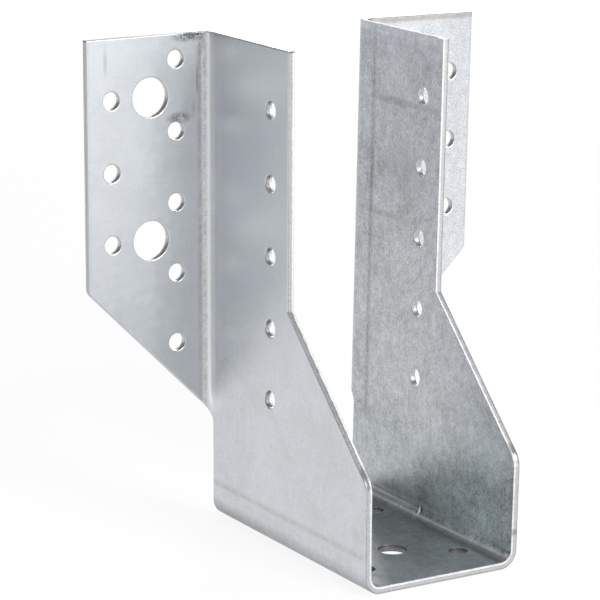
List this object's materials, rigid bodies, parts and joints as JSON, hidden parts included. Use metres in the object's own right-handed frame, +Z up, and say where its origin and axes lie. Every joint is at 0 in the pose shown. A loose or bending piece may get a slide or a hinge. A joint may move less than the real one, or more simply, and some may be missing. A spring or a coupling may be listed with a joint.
{
  "type": "joist hanger",
  "caption": "Folded galvanised steel joist hanger: a U-shaped seat and sides cradle a joist end, and out-turned flanges with nail and bolt holes fix it to a header.",
  "frame": {"origin": "on the header's face, the plane of both flanges' backs, at mid-width, level with the underside of the seat", "axes": "X across the joist, +X the side and flange on the right of someone who faces the header; Y along the joist, +Y into the header, so the seat reaches out towards -Y; +Z up"},
  "size_m": [0.1264, 0.084, 0.139],
  "materials": {
    "galvanised_sheet": "hot-dip galvanised sheet, satin, with bare sheared edges"
  },
  "bodies": {
    "root": {"joist_hanger": "galvanised_sheet"}
  },
  "joints": []
}
